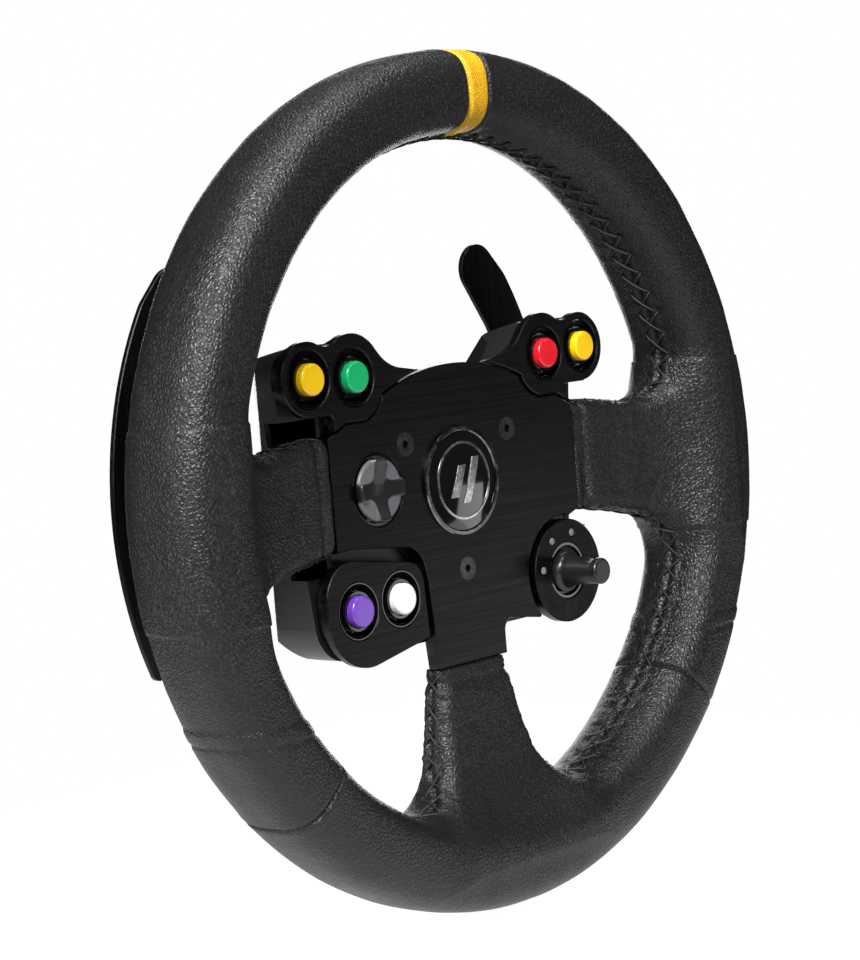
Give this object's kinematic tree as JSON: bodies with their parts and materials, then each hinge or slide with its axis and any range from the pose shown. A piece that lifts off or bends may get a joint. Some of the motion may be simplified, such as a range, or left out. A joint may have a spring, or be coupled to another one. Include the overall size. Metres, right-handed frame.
{
  "type": "sim racing wheel rim",
  "caption": "Leather-wrapped round steering wheel rim for a racing simulator, with face buttons, direction pad, rotary selector, shift paddles and a quick-release hub.",
  "frame": {"origin": "centre of the coupling socket's mouth, on the steering axis at the back of the wheel", "axes": "+Y along the steering axis away from the driver, out of the coupling socket towards the wheel base; +Z at 12 o'clock; +X to the driver's right"},
  "size_m": [0.28, 0.08, 0.28],
  "materials": {
    "black_leather": "pebbled",
    "yellow_leather": "fine grain",
    "rim_foam": "matt",
    "frame_aluminium": "anodised black",
    "brushed_black": "brushed, black anodised",
    "satin_black": "satin, black anodised",
    "black_screws": "black oxide",
    "dark_chrome": "dark polished",
    "gloss_black": "gloss",
    "yellow_plastic": "satin",
    "green_plastic": "satin",
    "red_plastic": "satin",
    "purple_plastic": "satin",
    "white_plastic": "satin",
    "switch_plastic": "moulded",
    "grey_satin": "satin",
    "knob_black": "satin",
    "circuit_board": "solder mask",
    "shell_black": "fine texture",
    "hub_aluminium": "anodised black",
    "collar_black": "anodised black",
    "connector_black": "moulded",
    "contact_brass": "plated",
    "paddle_black": "brushed, black anodised",
    "lever_black": "anodised black",
    "pin_steel": "ground",
    "magnet_steel": "plated"
  },
  "bodies": {
    "wheel": {"leather_left": "black_leather", "leather_right": "black_leather", "leather_bottom": "black_leather", "centre_band": "yellow_leather", "rim_foam": "rim_foam", "spoke_frame": "frame_aluminium", "face_plate": "brushed_black", "pod_plate_upper_left": "brushed_black", "pod_plate_upper_right": "brushed_black", "pod_plate_lower_left": "brushed_black", "selector_plate": "satin_black", "plate_screws": "black_screws", "cover_screws": "black_screws", "emblem_ring": "dark_chrome", "emblem_dome": "gloss_black", "button_cup_upper_left_outer": "gloss_black", "button_cup_upper_left_inner": "gloss_black", "button_cup_upper_right_outer": "gloss_black", "button_cup_upper_right_inner": "gloss_black", "button_cup_lower_left_outer": "gloss_black", "button_cup_lower_left_inner": "gloss_black", "button_switches": "switch_plastic", "dpad_cup": "gloss_black", "selector_cup": "gloss_black", "selector_body": "switch_plastic", "board_upper_left": "circuit_board", "board_upper_right": "circuit_board", "board_lower_left": "circuit_board", "board_lower_right": "circuit_board", "front_shell": "shell_black", "rear_shell": "shell_black", "hub": "hub_aluminium", "connector": "connector_black", "connector_pins": "contact_brass", "paddle_pin_left": "pin_steel", "cover_magnet_left": "magnet_steel", "paddle_switch_left": "switch_plastic", "paddle_pin_right": "pin_steel", "cover_magnet_right": "magnet_steel", "paddle_switch_right": "switch_plastic"},
    "button_upper_left_outer": {"button_upper_left_outer": "yellow_plastic"},
    "button_upper_left_inner": {"button_upper_left_inner": "green_plastic"},
    "button_upper_right_outer": {"button_upper_right_outer": "yellow_plastic"},
    "button_upper_right_inner": {"button_upper_right_inner": "red_plastic"},
    "button_lower_left_outer": {"button_lower_left_outer": "purple_plastic"},
    "button_lower_left_inner": {"button_lower_left_inner": "white_plastic"},
    "dpad_spider": {"dpad_spider": "switch_plastic"},
    "dpad_cap": {"dpad_cap": "grey_satin"},
    "selector_carrier": {"selector_carrier": "switch_plastic"},
    "selector_knob": {"selector_knob": "knob_black"},
    "lock_collar": {"lock_collar": "collar_black"},
    "paddle_left": {"paddle_left": "paddle_black", "paddle_lever_left": "lever_black", "lever_magnet_left": "magnet_steel", "paddle_screws_left": "black_screws"},
    "paddle_right": {"paddle_right": "paddle_black", "paddle_lever_right": "lever_black", "lever_magnet_right": "magnet_steel", "paddle_screws_right": "black_screws"}
  },
  "joints": [
    {"name": "press_upper_left_outer", "type": "slide", "parent": "wheel", "child": "button_upper_left_outer", "axis": [0, 1, 0], "range_m": [0, 0.0012], "stiffness_N_per_m": 900, "springref_m": -0.0006},
    {"name": "press_upper_left_inner", "type": "slide", "parent": "wheel", "child": "button_upper_left_inner", "axis": [0, 1, 0], "range_m": [0, 0.0012], "stiffness_N_per_m": 900, "springref_m": -0.0006},
    {"name": "press_upper_right_outer", "type": "slide", "parent": "wheel", "child": "button_upper_right_outer", "axis": [0, 1, 0], "range_m": [0, 0.0012], "stiffness_N_per_m": 900, "springref_m": -0.0006},
    {"name": "press_upper_right_inner", "type": "slide", "parent": "wheel", "child": "button_upper_right_inner", "axis": [0, 1, 0], "range_m": [0, 0.0012], "stiffness_N_per_m": 900, "springref_m": -0.0006},
    {"name": "press_lower_left_outer", "type": "slide", "parent": "wheel", "child": "button_lower_left_outer", "axis": [0, 1, 0], "range_m": [0, 0.0012], "stiffness_N_per_m": 900, "springref_m": -0.0006},
    {"name": "press_lower_left_inner", "type": "slide", "parent": "wheel", "child": "button_lower_left_inner", "axis": [0, 1, 0], "range_m": [0, 0.0012], "stiffness_N_per_m": 900, "springref_m": -0.0006},
    {"name": "dpad_up_down", "type": "hinge", "parent": "wheel", "child": "dpad_spider", "pos_m": [-0.0396, -0.0551, 0.0016], "axis": [1, 0, 0], "range_deg": [-6, 6], "stiffness_Nm_per_rad": 0.5},
    {"name": "dpad_left_right", "type": "hinge", "parent": "dpad_spider", "child": "dpad_cap", "pos_m": [-0.0396, -0.0551, 0.0016], "axis": [0, 0, 1], "range_deg": [-6, 6], "stiffness_Nm_per_rad": 0.5},
    {"name": "selector_push", "type": "slide", "parent": "wheel", "child": "selector_carrier", "axis": [0, 1, 0], "range_m": [0, 0.0015], "stiffness_N_per_m": 1200, "springref_m": -0.0006},
    {"name": "selector_turn", "type": "hinge", "parent": "selector_carrier", "child": "selector_knob", "pos_m": [0.05, -0.05, -0.037], "axis": [0, -1, 0], "range_deg": [-49, 49]},
    {"name": "collar_turn", "type": "hinge", "parent": "wheel", "child": "lock_collar", "pos_m": [0, -0.009, 0], "axis": [0, 1, 0], "range_deg": [0, 60]},
    {"name": "shift_left", "type": "hinge", "parent": "wheel", "child": "paddle_left", "pos_m": [-0.041, -0.0145, 0.001], "axis": [0, 0, 1], "range_deg": [0, 4], "stiffness_Nm_per_rad": 4, "springref_deg": -3.44},
    {"name": "shift_right", "type": "hinge", "parent": "wheel", "child": "paddle_right", "pos_m": [0.041, -0.0145, 0.001], "axis": [0, 0, -1], "range_deg": [0, 4], "stiffness_Nm_per_rad": 4, "springref_deg": -3.44}
  ]
}
